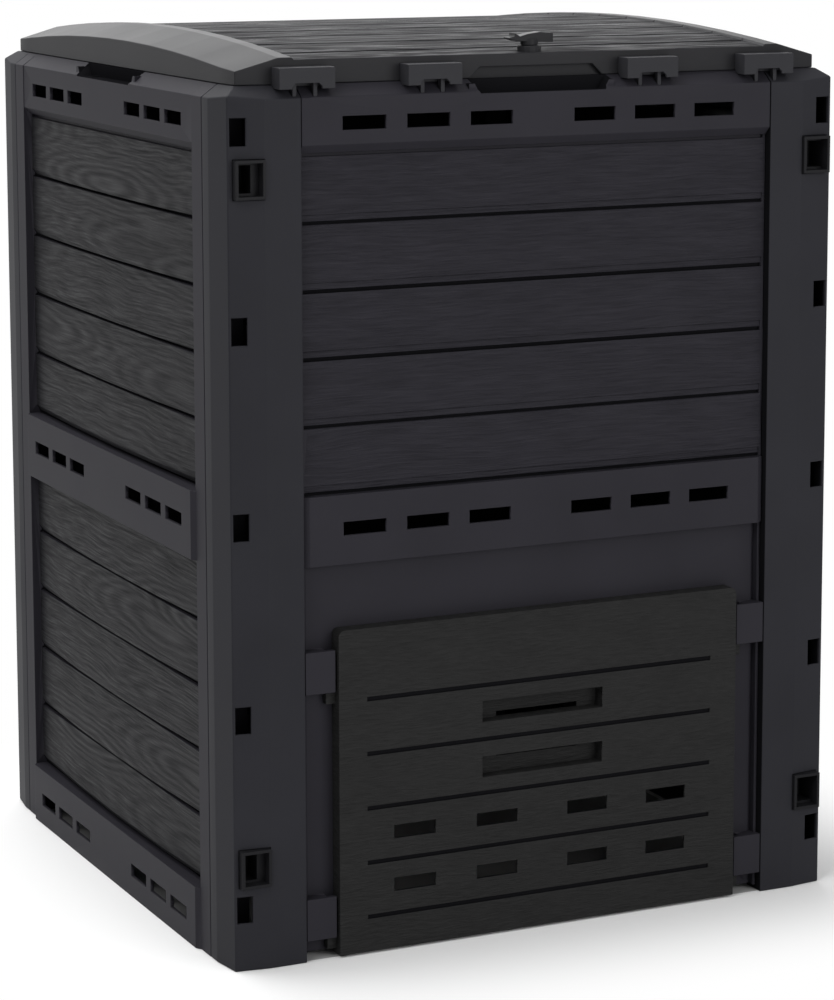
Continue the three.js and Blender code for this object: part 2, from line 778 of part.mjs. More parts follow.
function roundedTop(halfWidth, bottom, top, radius) {
  const shape = new THREE.Shape();
  shape.moveTo(-halfWidth, bottom);
  shape.lineTo(halfWidth, bottom);
  shape.lineTo(halfWidth, top - radius);
  shape.absarc(halfWidth - radius, top - radius, radius, 0, Math.PI / 2, false);
  shape.lineTo(-halfWidth + radius, top);
  shape.absarc(-halfWidth + radius, top - radius, radius, Math.PI / 2, Math.PI, false);
  return shape;
}

function door() {
  const face = -doorProud;
  const back = plainDepth - seatGap;
  const outline = roundedTop(doorHalf, doorBottom, doorTop, doorRadius);
  const hollow = roundedTop(doorHalf - doorSkin, doorBottom + doorSkin, doorTop - doorSkin, doorRadius);
  const tray = extruded(outline, -back, -face, alongY, cornerFacets).subtract(
    extruded(hollow, -back - overrun, -face - doorSkin, alongY, cornerFacets),
  );
  const pieces = [tray];
  const cuts = [];
  // A grip is a flat-backed recess. Its slot lies beside the bar between the two grips.
  const gripReach = gripHalf + gripBorder;
  const upperGripBottom = lowerGripTop + gripBar;
  const grips = [
    [lowerGripTop - gripHeight, lowerGripTop, lowerGripTop - gripSlotHeight],
    [upperGripBottom, upperGripBottom + gripHeight, upperGripBottom],
  ];
  for (const [bottom, top, slot] of grips) {
    pieces.push(block(-gripReach, gripReach, face, back, bottom - gripBorder, top + gripBorder));
    cuts.push(block(-gripHalf, gripHalf, face - overrun, face + gripDepth, bottom, top));
    cuts.push(block(-gripSlotHalf, gripSlotHalf, face, back + overrun, slot, slot + gripSlotHeight));
  }
  const ribEnd = plainDepth + skin;
  const ribOuter = doorwayHalf - jointGap;
  const ribInner = ribOuter - doorRibThickness;
  const ribBottom = doorwayBottom + seatGap;
  const ribFront = face + doorSkin / 2;
  for (const sign of [-1, 1]) {
    const guide = ordered(sign * ribInner, sign * ribOuter);
    pieces.push(block(...guide, ribFront, ribEnd, ribBottom, ribBottom + doorRibHeight));
    const lug = ordered(sign * (doorHalf - doorSkin), sign * (doorHalf + lugReach));
    for (const bottom of tabBottoms) {
      const lugBottom = bottom + tabHeight - doorTravel + jointGap;
      pieces.push(block(...lug, tabDepth + tabPlate + jointGap, back, lugBottom, lugBottom + tabHeight));
    }
  }
  pieces.push(block(-ribOuter, ribOuter, ribFront, ribEnd, ribBottom, ribBottom + doorRibThickness));
  const doorGrooveHalf = doorHalf - doorGrooveEnd;
  for (let n = 0; n < doorGrooveCount; n += 1) {
    const level = doorGrooveFirst + n * doorGroovePitch;
    const [z0, z1] = [level - doorGrooveHeight / 2, level + doorGrooveHeight / 2];
    cuts.push(block(-doorGrooveHalf, doorGrooveHalf, face - overrun, face + doorGrooveCut, z0, z1));
  }
  for (const offset of ventShares.flatMap((share) => [-share * doorHalf, share * doorHalf])) {
    for (const level of [ventLow, ventLow + ventPitch]) {
      const [x0, x1] = [offset - ventWidth / 2, offset + ventWidth / 2];
      cuts.push(block(x0, x1, face - overrun, back, level - ventHeight / 2, level + ventHeight / 2));
    }
  }
  return joined(...pieces).subtract(joined(...cuts));
}

const doorHolder = new THREE.Group();
doorHolder.position.y = -half;
bin.add(doorHolder);
add(doorHolder, 'emptying_door', door(), plastic(charcoal, 0.6));

// Lid

// The outline across the lid at depth y, from the left foot over the top to the right foot
function lidOutline(y, wall, drop) {
  const out = lidHalf - wall;
  const ridge = lidHalf - borderWidth - ridgeWidth;
  const top = ridgeLevel(y) - wall;
  const deck = top - deckDrop - drop;
  const bottom = lidBottom - (wall > 0 ? overrun : 0);
  return [
    [-out, bottom],
    [-out, top - borderFall],
    [-ridge - ridgeWidth, top],
    [-ridge, top],
    [-ridge + deckDrop, deck],
    [ridge - deckDrop, deck],
    [ridge, top],
    [ridge + ridgeWidth, top],
    [out, top - borderFall],
    [out, bottom],
  ].reverse();
}

// Plan of the lid: a square whose sides lean in towards its corners
function lidPlan(reach) {
  const near = lidHalf - lidLeanStart;
  const corner = reach - lidCornerInset;
  const quarter = [[near, -reach], [corner, -corner], [reach, -near]];
  const turned = (points) => points.map(([x, y]) => [-y, x]);
  const side = [...quarter, ...turned(quarter)];
  return [...side, ...turned(turned(side))];
}

// Places of the plank grooves, from the front to the back
function grooveLines() {
  const lines = [];
  for (let n = 0; n < 2 * plankGrooves; n += 1) {
    lines.push((n - plankGrooves + 1 / 2) * plankPitch);
  }
  return lines;
}

// Lip that locates the lid inside the rim, up to the middle of the lid's skin
function lidLip(bottom, arch) {
  const reach = half - rimBack - lipGap;
  const ring = prismZ(lidPlan(reach), bottom, ridgeApex).subtract(
    prismZ(lidPlan(reach - lipThickness), bottom - overrun, ridgeApex + overrun),
  );
  const below = block(-lidHalf, lidHalf, -lidHalf, lidHalf, bottom, lidBottom);
  return ring.intersect(arch(lidHalf, lidSkin / 2).add(below));
}

function lidShell() {
  const grooves = grooveLines();
  const edges = grooves.flatMap((y) => [y - plankGrooveHalf, y, y + plankGrooveHalf]);
  const dropAt = (y) => (grooves.includes(y) ? plankGrooveCut : 0);
  const planked = lofted([-lidHalf, ...edges, lidHalf], (y) => lidOutline(y, 0, dropAt(y)), alongY);
  const outer = planked.intersect(prismZ(lidPlan(lidHalf), 0, ridgeApex + overrun));
  const sliceShares = Array.from({ length: archSlices + 1 }, (_, i) => (2 * i) / archSlices - 1);
  const arch = (reach, wall) => {
    const places = sliceShares.map((share) => share * reach);
    return lofted(places, (y) => lidOutline(y, wall, 0), alongY);
  };
  const innerHalf = lidHalf - lidSkin;
  const hollow = arch(innerHalf, lidSkin).intersect(prismZ(lidPlan(innerHalf), 0, ridgeApex));
  const lipBottom = rimTop - lipDrop;
  const bossBottom = ridgeLevel(latchY) - lidSkin - deckDrop * 2;
  const boss = cylinderZ(latchBossRadius, 0, latchY, bossBottom, latchBossTop);
  const lid = joined(outer.subtract(hollow), lidLip(lipBottom, arch), boss);
  const cuts = [cylinderZ(spindleRadius + latchGap, 0, latchY, lipBottom, latchBossTop + overrun)];
  const lidNotchTop = lidBottom + lidNotchHeight;
  const splay = (lidNotchSplay * (lidNotchHeight + overrun)) / lidNotchHeight;
  const notch = [
    [-lidNotchHalf - splay, lidBottom - overrun],
    [lidNotchHalf + splay, lidBottom - overrun],
    [lidNotchHalf, lidNotchTop],
    [-lidNotchHalf, lidNotchTop],
  ];
  cuts.push(prismY(notch, -lidHalf - overrun, -lidHalf + lidSkin + seatGap));
  const [w, h] = [pegWidth / 2 + seatGap, pegHeight / 2 + seatGap];
  const pegLevel = barLevel + pegRise;
  for (const offset of loopOffsets) {
    for (const sign of [-1, 1]) {
      const [y0, y1] = ordered(sign * (lidHalf - lidSkin - seatGap), sign * (lidHalf + overrun));
      cuts.push(block(offset - w, offset + w, y0, y1, pegLevel - h, pegLevel + h));
    }
  }
  return lid.subtract(joined(...cuts));
}

add(bin, 'lid', lidShell(), plastic(charcoalLight, 0.5));

// Loops and clips, drawn for the front with the bar's axis on x through the origin

function loop() {
  const prong = new THREE.Shape();
  prong.moveTo(-prongWidth / 2, -prongDrop);
  prong.lineTo(prongWidth / 2, -prongDrop);
  prong.absarc(0, 0, prongWidth / 2, 0, Math.PI, false);
  const inner = loopGap / 2;
  const outer = inner + prongThickness;
  const prongs = [-1, 1].map((sign) =>
    extruded(prong, ...ordered(sign * inner, sign * outer), alongX, cornerFacets),
  );
  const bar = cylinderX(barRadius, 0, 0, -inner - bite, inner + bite);
  return joined(bar, ...prongs);
}

// Saddle of a catch clip: a block with an open groove that drops over the bar
function catchSaddle(front, back, hole) {
  const wide = saddleWidth / 2;
  const open = barRadius + seatGap;
  return block(-wide, wide, front, back, -saddleDrop, catchRise - clipWall / 2)
    .subtract(hole)
    .subtract(block(-clipWidth, clipWidth, -open, open, -clipDrop, 0));
}

// Knuckle of a hinge clip: a round eye that snaps over the bar and turns on it
function hingeKnuckle(back, hole) {
  const wide = saddleWidth / 2;
  const mouth = knuckleMouth / 2;
  return cylinderX(knuckleRadius, 0, 0, -wide, wide)
    .add(block(-wide, wide, -clipWall, back, 0, hingeRise - clipWall / 2))
    .subtract(hole)
    .subtract(block(-clipWidth, clipWidth, -mouth, mouth, -clipDrop, 0));
}

// Side view of a clip, whose underside follows the rim's bevel
function clipProfile(front, back, rise) {
  const slope = rimRise / rimBevel;
  const underside = (y) => slope * (barDepth + y) + clipUnderGap - (barLevel - postHeight);
  const knee = (barLevel - postHeight - clipDrop - clipUnderGap) / slope - barDepth;
  const profile = new THREE.Shape();
  profile.moveTo(knee, -clipDrop);
  profile.lineTo(back, underside(back));
  profile.lineTo(back, rise);
  profile.lineTo(front + clipEdge, rise);
  profile.absarc(front + clipEdge, rise - clipEdge, clipEdge, Math.PI / 2, Math.PI, false);
  profile.lineTo(front, -clipDrop);
  return profile;
}

// The clip's back is towards +y, where the lid's skirt is.
function clip(isHinge) {
  const skirt = lidInset - barDepth; // from the bar to the skirt's face
  const back = skirt - seatGap;
  const front = back - clipDepth;
  const wide = clipWidth / 2;
  const rise = isHinge ? hingeRise : catchRise;
  let body = extruded(clipProfile(front, back, rise), -wide, wide, alongX, cornerFacets);
  if (isHinge) {
    const upper = block(-wide, wide, front, back, 0, rise);
    body = body.intersect(cylinderX(hingeRadius, 0, 0, -wide, wide).add(upper));
  }
  const roomEnd = wide - clipWall;
  const room = [front + clipWall, back - clipWall, -clipDrop - overrun, rise - clipWall];
  const notchTop = isHinge ? hingeNotchTop : catchNotchTop;
  const notch = [
    [-clipNotchHalf, -clipDrop - overrun],
    [clipNotchHalf, -clipDrop - overrun],
    [clipNotchHalf, notchTop - clipWall],
    [clipNotchHalf - clipWall, notchTop],
    [-clipNotchHalf + clipWall, notchTop],
    [-clipNotchHalf, notchTop - clipWall],
  ];
  const shell = body
    .subtract(block(-roomEnd, roomEnd, ...room))
    .subtract(prismY(notch, front - overrun, front + clipWall + overrun));
  const holeEnd = saddleWidth / 2 + overrun;
  const hole = cylinderX(barRadius + seatGap, 0, 0, -holeEnd, holeEnd);
  const saddleBack = back - clipWall / 2;
  const saddleFront = front + clipWall / 2;
  const saddle = isHinge ? hingeKnuckle(saddleBack, hole) : catchSaddle(saddleFront, saddleBack, hole);
  const [pegBottom, pegTop] = [pegRise - pegHeight / 2, pegRise + pegHeight / 2];
  const pegEnd = skirt + lidSkin - seatGap;
  const peg = block(-pegWidth / 2, pegWidth / 2, saddleBack, pegEnd, pegBottom, pegTop);
  return joined(shell, saddle, peg);
}

const rows = [
  ['front', 0, false, 'catch_clip'],
  ['back', Math.PI, true, 'hinge_clip'],
];
for (const [side, turn, isHinge, clipName] of rows) {
  const holder = new THREE.Group();
  holder.rotation.z = turn;
  bin.add(holder);
  loopOffsets.forEach((offset, n) => {
    const loopMesh = add(holder, `${side}_loop_${n + 1}`, loop(), plastic(charcoalLight, 0.5));
    loopMesh.position.set(offset, -barOut, barLevel);
    const clipMesh = add(holder, `${clipName}_${n + 1}`, clip(isHinge), plastic(charcoalLight, 0.5));
    clipMesh.position.set(offset, -barOut, barLevel);
  });
}

// Lever with its spindle, the pawl under the lid and the screw that holds it

function lever() {
  const base = latchBossTop + latchGap;
  const handle = leverShares.map(([across, up]) => [across * leverReach, latchBossTop + up * leverHeight]);
  const hubTop = latchBossTop + leverHeight / 2;
  const spindleFoot = pawlTop + latchGap;
  const pilotTop = pawlTop - pawlThickness + screwLength + latchGap;
  return joined(
    cylinderZ(leverHub, 0, 0, base, hubTop),
    cylinderZ(spindleRadius, 0, 0, spindleFoot, hubTop),
    prismY(handle, -leverDepth / 2, leverDepth / 2),
  ).subtract(cylinderZ(screwRadius + latchGap / 2, 0, 0, spindleFoot - overrun, pilotTop));
}

function pawl() {
  const outline = new THREE.Shape();
  outline.moveTo(-pawlReach, -pawlWidth / 2);
  outline.lineTo(0, -pawlWidth / 2);
  outline.absarc(0, 0, pawlWidth / 2, -Math.PI / 2, Math.PI / 2, false);
  outline.lineTo(-pawlReach, pawlWidth / 2);
  const bottom = pawlTop - pawlThickness;
  const hole = cylinderZ(screwRadius + latchGap / 2, 0, 0, bottom - overrun, pawlTop + overrun);
  return extruded(outline, bottom, pawlTop, alongZ).subtract(hole);
}

function pawlScrew() {
  const seat = pawlTop - pawlThickness - seatGap;
  return joined(
    cylinderZ(screwHeadRadius, 0, 0, seat - screwHeadHeight, seat),
    cylinderZ(screwRadius, 0, 0, seat - bite, seat + screwLength),
  );
}

const latch = new THREE.Group();
latch.position.y = latchY;
bin.add(latch);
add(latch, 'latch_lever', lever(), plastic(charcoal, 0.45));
add(latch, 'latch_pawl', pawl(), plastic(charcoal, 0.5));
const zinc = new THREE.MeshStandardMaterial({ color: steel, roughness: 0.35, metalness: 1 });
add(latch, 'latch_screw', pawlScrew(), zinc);

export default bin;
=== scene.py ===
"""Garden compost bin of moulded plastic, dressed for a product picture.

The moulded pieces keep the places and sizes of the frame. Each gets the softened edges that a mould
leaves and the finish of its own surface: wood grain on the boards, door and deck, a fine matt texture
on the bands and posts, and a smoother finish on the trim.
"""

from math import cos, pi, radians, sin

import bmesh
import bpy
from bpy.props import FloatProperty, FloatVectorProperty, IntProperty, PointerProperty
from mathutils import Matrix, Vector


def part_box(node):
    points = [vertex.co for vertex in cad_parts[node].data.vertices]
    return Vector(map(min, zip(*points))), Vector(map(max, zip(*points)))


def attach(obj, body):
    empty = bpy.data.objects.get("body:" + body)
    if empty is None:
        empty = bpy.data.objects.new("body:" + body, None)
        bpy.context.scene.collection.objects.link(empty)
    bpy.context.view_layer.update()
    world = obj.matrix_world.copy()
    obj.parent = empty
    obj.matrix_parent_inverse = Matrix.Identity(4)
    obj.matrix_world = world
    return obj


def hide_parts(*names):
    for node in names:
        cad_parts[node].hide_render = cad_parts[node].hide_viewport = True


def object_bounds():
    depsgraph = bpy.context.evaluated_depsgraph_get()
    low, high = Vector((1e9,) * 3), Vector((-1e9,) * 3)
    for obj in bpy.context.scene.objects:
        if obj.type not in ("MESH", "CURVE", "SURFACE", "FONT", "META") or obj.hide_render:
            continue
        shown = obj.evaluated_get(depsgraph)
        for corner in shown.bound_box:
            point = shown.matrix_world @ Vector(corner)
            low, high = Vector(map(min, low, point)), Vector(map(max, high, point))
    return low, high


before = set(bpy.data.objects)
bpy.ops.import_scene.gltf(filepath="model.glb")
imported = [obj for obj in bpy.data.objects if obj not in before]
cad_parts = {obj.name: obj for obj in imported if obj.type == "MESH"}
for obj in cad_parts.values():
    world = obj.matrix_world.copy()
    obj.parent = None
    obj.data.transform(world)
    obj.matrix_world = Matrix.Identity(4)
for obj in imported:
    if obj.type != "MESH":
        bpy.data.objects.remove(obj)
cad_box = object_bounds()

bl_info = {
    "name": "Compost Bin",
    "version": (1, 0, 0),
    "blender": (4, 5, 0),
    "location": "View3D > Sidebar > Compost Bin",
    "description": "Builds and dresses a garden compost bin of moulded plastic",
    "category": "Object",
}

MM = 0.001
CORNERS = ("front_left", "front_right", "back_right", "back_left")
LOCK_LEVELS = ("lower", "upper")
LOOPS_IN_ROW = 4
TRIM_SLOTS = ("trim_plastic", "latch_plastic", "zinc_steel")

# Meshes
WELD = 0.02 * MM  # corners closer than this are one
FLAT = radians(0.4)  # faces that turn less than this are one
MOST_CORNERS = 12  # of a face, before it is parted
ALIGNED = 0.9  # cosine above which a side runs on with an edge instead of away from it
ROOM_SHARE = 0.45  # of a side's length, for the rounding at each of its ends
BROAD = 0.01  # how close faces are in area to count as equally broad

# Where a face lies, and which way it looks by its normal's part on an axis
NEARBY = 0.3 * MM  # as close to a place as this, it lies there
FACING = 0.5  # it looks along the axis
DECK_FACING = 0.3  # it looks up, as the lid's sloping deck does
INWARD = -0.1  # it looks back to the middle of the bin

# Wood grain
GRAIN_SPAN = {"From Min": 0.32, "From Max": 0.68}  # where most of a noise's values lie
FINE_LINES = 0.65  # strength of the finer lines within the grain
WAVE_SLENDER = 3  # a wave is so many times as long as it is high
PATCHES_IN_WAVE = 3  # lighter and darker patches
RING_LOW = 0.1  # the lowest a ring's groove goes, where 0 is the foot of the grain
KNOT_SPAN = {"From Min": 0.2, "From Max": 0.7}  # of a knot's spacing, over which its rings fade
FAR_RINGS = 1 / 5  # share of the rings that is left away from a knot
GLOSS_SHARE = 1 / 3  # of the contrast, by which the grain's roughness also differs

# Zinc plating
SPANGLE = 0.8 * MM  # size of its lighter and darker specks
SPANGLE_CONTRAST = 0.12
ZINC_ROUGHNESS = (0.25, 0.45)  # lowest and highest
METAL_SHEEN = 0.5

# Stage, in metres
LAMPS = (  # name, place and size
    ("key", (-2.6, -1.8, 3.0), 1.8),
    ("fill", (0.9, -3.2, 1.3), 2.0),
    ("top", (-0.6, 0.7, 3.1), 2.4),
    ("back", (0.9, 3.0, 2.2), 2.4),
)
CAMERA_PLACE = (-1.3348, -2.8908, 0.9712)
SENSOR_WIDTH = 36  # in millimetres
FLOOR_REACH = 40  # from the middle of the bin
FLOOR_DROP = 0.2 * MM


# Colour and small helpers


def linear(hex_code):
    """An sRGB hex colour as the linear colour that a shader takes."""
    channels = [int(hex_code[i : i + 2], 16) / 255 for i in (1, 3, 5)]
    return tuple(c / 12.92 if c <= 0.04045 else ((c + 0.055) / 1.055) ** 2.4 for c in channels)


def colour_property(name, description, hex_code):
    """A colour that the user can change, given as sRGB hex."""
    default = linear(hex_code)
    return FloatVectorProperty(
        name=name, description=description, default=default, size=3, min=0, max=1, subtype="COLOR"
    )


def length_property(name, description, millimetres):
    """A length that the user can change, given in millimetres."""
    default = millimetres * MM
    return FloatProperty(
        name=name, description=description, default=default, min=0, precision=5, unit="LENGTH"
    )


def share_property(name, description, value):
    """A number from 0 to 1 that the user can change."""
    return FloatProperty(name=name, description=description, default=value, min=0, max=1, subtype="FACTOR")


def angle_property(name, description, degrees):
    """An angle that the user can change, given in degrees."""
    return FloatProperty(name=name, description=description, default=radians(degrees), subtype="ANGLE")


def power_property(name, description, watts):
    """The power of a lamp, which the user can change."""
    return FloatProperty(name=name, description=description, default=watts, unit="POWER")


# What a user would change


class CompostBinFinish(bpy.types.PropertyGroup):
    """Colours and gloss of the mouldings."""

    # Painted shade: this darker colour is painted on grooves, rebate steps, recesses and the posts'
    # insides, where shade falls
    groove: colour_property("Grooves", "Where the plastic is left rough and lies in shade", "#131315")
    band: colour_property("Bands", "Charcoal of the plain bands and the panel round the door", "#252429")
    wall: colour_property("Boards", "Charcoal of the boards", "#222126")
    # Painted shade: the side boards are given a darker colour than the front and back boards of the same
    # plastic, for the stronger light on the sides
    side_wall_painted_shade: colour_property("Side Boards", "Charcoal of the side walls' boards", "#1D1D1F")
    door: colour_property("Door", "Charcoal of the emptying door", "#202020")
    post: colour_property("Posts", "Charcoal of the corner posts", "#242428")
    lid: colour_property("Lid", "Charcoal of the lid", "#252527")
    trim: colour_property("Trim", "Charcoal of the clips and loops", "#2A2A2D")
    lock: colour_property("Locks", "Black of the locks in the posts", "#1A1A1C")
    lever: colour_property("Lever", "Black of the lever and the pawl", "#222224")
    zinc: colour_property("Screw", "Zinc plating of the screw", "#B9BCC0")
    roughness: share_property("Roughness", "Roughness of the fine matt texture", 0.5)
    board_roughness: share_property("Board Roughness", "Roughness of the wood grain", 0.52)
    smooth_roughness: share_property("Smooth Roughness", "Roughness of the lid's and trim's finish", 0.4)
    lever_roughness: share_property("Lever Roughness", "Roughness of the lever and the pawl", 0.38)
    groove_roughness: share_property("Groove Roughness", "Roughness of grooves and recesses", 0.8)
    sheen: share_property("Sheen", "Mirror light of the etched walls, posts and door", 0.065)
    smooth_sheen: share_property("Smooth Sheen", "Mirror light of the lid and the trim", 0.06)
    deck_sheen: share_property("Deck Sheen", "Mirror light of the lid's boards", 0.012)
    groove_sheen: share_property("Groove Sheen", "Mirror light of grooves and recesses", 0)


class CompostBinGrain(bpy.types.PropertyGroup):
    """Sizes of the wood grain and of the fine matt texture."""

    front_streak: length_property("Front Streak", "Length of a grain line on the front and back", 40)
    front_line: length_property("Front Line", "Spacing of the grain lines on the front and back", 1.9)
    front_rings: share_property("Front Rings", "How far rings take over round a knot there", 0.15)
    front_contrast: share_property("Front Contrast", "Light and dark of the front and back boards", 0.32)
    side_streak: length_property("Side Streak", "Length of a grain line on the side walls", 60)
    side_line: length_property("Side Line", "Spacing of the grain lines on the side walls", 2.1)
    side_rings: share_property("Side Rings", "How far rings take over round a knot there", 0.6)
    side_contrast: share_property("Side Contrast", "Light and dark of the side boards", 0.46)
    door_streak: length_property("Door Streak", "Length of a grain line on the door", 15)
    door_line: length_property("Door Line", "Spacing of the grain lines on the door", 2.2)
    door_rings: share_property("Door Rings", "How far rings take over round a knot there", 0)
    door_contrast: share_property("Door Contrast", "Light and dark of the door", 0.26)
    deck_streak: length_property("Deck Streak", "Length of a grain line on the lid", 80)
    deck_line: length_property("Deck Line", "Spacing of the grain lines on the lid", 5)
    deck_rings: share_property("Deck Rings", "How far rings take over round a knot there", 0.3)
    deck_contrast: share_property("Deck Contrast", "Light and dark of the lid's boards", 0.8)
    wander: length_property("Wander", "How far the lines wander off straight", 16)
    wave: length_property("Wave", "Length over which the lines wander", 160)
    knot: length_property("Knot Spacing", "From one knot to the next along a board", 420)
    knot_height: length_property("Knot Height", "Height of the grain round a knot", 58)
    ring: length_property("Ring", "Spacing of the lines round a knot", 5)
    depth: length_property("Depth", "Depth of the wood grain", 0.5)
    patches: share_property("Patches", "How much of the light and dark is in patches, not lines", 0.5)
    grit: length_property("Grit", "Size of the matt texture's grit", 1.1)
    grit_depth: length_property("Grit Depth", "Depth of the matt texture", 0.035)
    cloud: length_property("Cloud", "Size of the soft patches in the matt texture", 90)
    cloud_contrast: share_property("Cloud Contrast", "Light and dark of those patches", 0.2)
    cloud_gloss: share_property("Cloud Gloss", "By how much their roughness differs", 0.06)


class CompostBinPlaces(bpy.types.PropertyGroup):
    """Places on the mouldings where one finish meets another."""

    lower_foot: length_property("Lower Boards' Foot", "Foot of the lower five boards", 57)
    lower_top: length_property("Lower Boards' Top", "Top of the lower five boards", 357)
    upper_foot: length_property("Upper Boards' Foot", "Foot of the upper five boards", 419.5)
    upper_top: length_property("Upper Boards' Top", "Top of the upper five boards", 717)
    board_reach: length_property("Board Reach", "Half the length of a board", 229.5)
    outside: length_property("Outside", "Outer faces of the posts from the middle of the bin", 305)
    # The next places pick the faces that get painted shade: a board's grooves and rebate steps, the inside
    # of a post's flanges and the recesses in the rim
    groove: length_property("Groove", "Behind those faces, from here on a board's faces are grooves", 9.7)
    groove_end: length_property("Groove's End", "Behind those faces, from here on they are not", 12)
    rebate: length_property("Rebate", "Behind those faces, from here on a board is rebated", 8.3)
    flange: length_property("Flange", "Behind those faces, from here on a post is rough inside", 15)
    recess_floor: length_property("Recess Floor", "Height of the finger recesses in the rim", 766)
    recess_reach: length_property("Recess Reach", "Half the length of a finger recess", 78)
    recess_edge: length_property("Recess Edge", "Behind those faces, from here on a recess is rough", 4)
    door_groove: length_property("Door Groove", "Depth of the grooves in the door", 1.8)
    deck_end: length_property("Deck's End", "From the lid's side to the end of its boards", 56.5)
    deck_rise: length_property("Deck's Rise", "From the lid's foot to the foot of its boards", 18)


class CompostBinEdges(bpy.types.PropertyGroup):
    """Roundings that the mould leaves."""

    wall: length_property("Wall Edge", "Rounding of the walls' and the door's edges", 0.55)
    post: length_property("Post Edge", "Rounding of the posts' edges", 1.2)
    lid: length_property("Lid Edge", "Rounding of the lid's edges", 0.9)
    trim: length_property("Trim Edge", "Rounding of the clips, loops, locks and lever", 0.4)
    screw: length_property("Screw Edge", "Rounding of the screw's edges", 0.2)
    segments: IntProperty(name="Segments", description="Facets of a rounding", default=2, min=1, max=6)
    angle: angle_property("Angle", "Edges sharper than this are rounded", 6)
    trim_angle: angle_property("Trim Angle", "The same for small parts", 35)


class CompostBinStage(bpy.types.PropertyGroup):
    """Camera, floor and lamps."""

    lens: FloatProperty(
        name="Lens", description="Focal length in millimetres", default=118.3, unit="CAMERA"
    )
    yaw: angle_property("Yaw", "Camera's turn to the right", 25.834)
    pitch: angle_property("Pitch", "Camera's tilt down", 8.519)
    shift_x: FloatProperty(
        name="Shift X", description="Sideways shift as a share of the frame", default=-0.0431
    )
    shift_y: FloatProperty(
        name="Shift Y", description="Upright shift as a share of the frame", default=-0.15
    )
    floor: colour_property("Floor", "Pale paper round the bin", "#F4F4F4")
    # Painted shade: the paper under the bin takes this darker colour
    painted_shade_floor: colour_property("Hidden Floor", "The paper under the bin", "#A8A8A8")
    shade_start: length_property("Shade Start", "From the bin's middle to where it stops hiding paper", 300)
    shade_end: length_property("Shade End", "From the bin's middle to where the paper is all white", 520)
    key: power_property("Key", "Power of the lamp on the left", 50)
    fill: power_property("Fill", "Power of the lamp in front", 48)
    top: power_property("Top", "Power of the lamp overhead", 90)
    back: power_property("Back", "Power of the lamp behind", 22)
    ambient: share_property("Ambient", "Strength of the pale surroundings", 0.38)


# Material nodes
#
# A Mix node's sockets go by number, because several share a name: 0 is the factor, 2 and 3 are its two
# numbers, and 6 and 7 its two colours. The mixed number comes out at 0 and the mixed colour at 2.


def add_node(tree, kind, inputs=None, **settings):
    """Adds a node, sets its options, and gives each input a value or the socket that feeds it."""
    node = tree.nodes.new(kind)
    for name, value in settings.items():
        setattr(node, name, value)
    for key, value in (inputs or {}).items():
        if isinstance(value, bpy.types.NodeSocket):
            tree.links.new(value, node.inputs[key])
        else:
            node.inputs[key].default_value = value
    return node


def shade(colour, share):
    """The colour made darker or lighter, as a shader takes it."""
    return (*(min(channel * share, 1) for channel in colour), 1)


def cells(across, length, width):
    """Grain cells per metre on each axis: long with the board and narrow across it."""
    return tuple(1 / width if axis == across else 1 / length for axis in "XYZ")


def new_material(name, colour, roughness, sheen):
    """An empty material with its shader, for the finishes below."""
    made = bpy.data.materials.new(name)
    made.use_nodes = True
    tree = made.node_tree
    tree.nodes.clear()
    values = {"Base Color": shade(colour, 1), "Roughness": roughness, "Specular IOR Level": sheen}
    shader = add_node(tree, "ShaderNodeBsdfPrincipled", values)
    add_node(tree, "ShaderNodeOutputMaterial", {"Surface": shader.outputs[0]})
    made.diffuse_color = shade(colour, 1)
    return made, tree, shader


def vary(tree, shader, colour, contrast, tint, roughness, gloss, relief=None, depth=0):
    """Lets patterns from 0 to 1 move the finish about.

    The tint takes the colour from a darker to a lighter tone of it, the gloss takes the roughness from
    the first of its two values to the second, and the relief raises the surface by up to a depth.
    """
    tones = {0: tint, 6: shade(colour, 1 - contrast), 7: shade(colour, 1 + contrast)}
    tones = add_node(tree, "ShaderNodeMix", tones, data_type="RGBA").outputs[2]
    spread = {"Value": gloss, "To Min": roughness[0], "To Max": roughness[1]}
    spread = add_node(tree, "ShaderNodeMapRange", spread).outputs[0]
    tree.links.new(tones, shader.inputs["Base Color"])
    tree.links.new(spread, shader.inputs["Roughness"])
    if relief:
        bump = add_node(tree, "ShaderNodeBump", {"Distance": depth, "Height": relief})
        tree.links.new(bump.outputs[0], shader.inputs["Normal"])


def matt_polypropylene(name, colour, roughness, sheen, grain):
    """Polypropylene from a spark-eroded mould: an even dull sheen with a fine grit in it.

    Where the mould was polished more, as for the lid's border, the trim and the lever, it is the same
    with less roughness. Real grit is about a tenth of a millimetre. It is drawn coarser, because that
    is too fine to show.
    """
    made, tree, shader = new_material(name, colour, roughness, sheen)
    place = add_node(tree, "ShaderNodeTexCoord").outputs["Object"]
    grit = add_node(tree, "ShaderNodeTexNoise", {"Vector": place, "Scale": 1 / grain.grit}).outputs[0]
    cloud = {"Vector": place, "Scale": 1 / grain.cloud, "Detail": 4}
    cloud = add_node(tree, "ShaderNodeTexNoise", cloud).outputs[0]
    spread = (roughness - grain.cloud_gloss, roughness + grain.cloud_gloss)
    vary(tree, shader, colour, grain.cloud_contrast, cloud, spread, cloud, grit, grain.grit_depth)
    return made


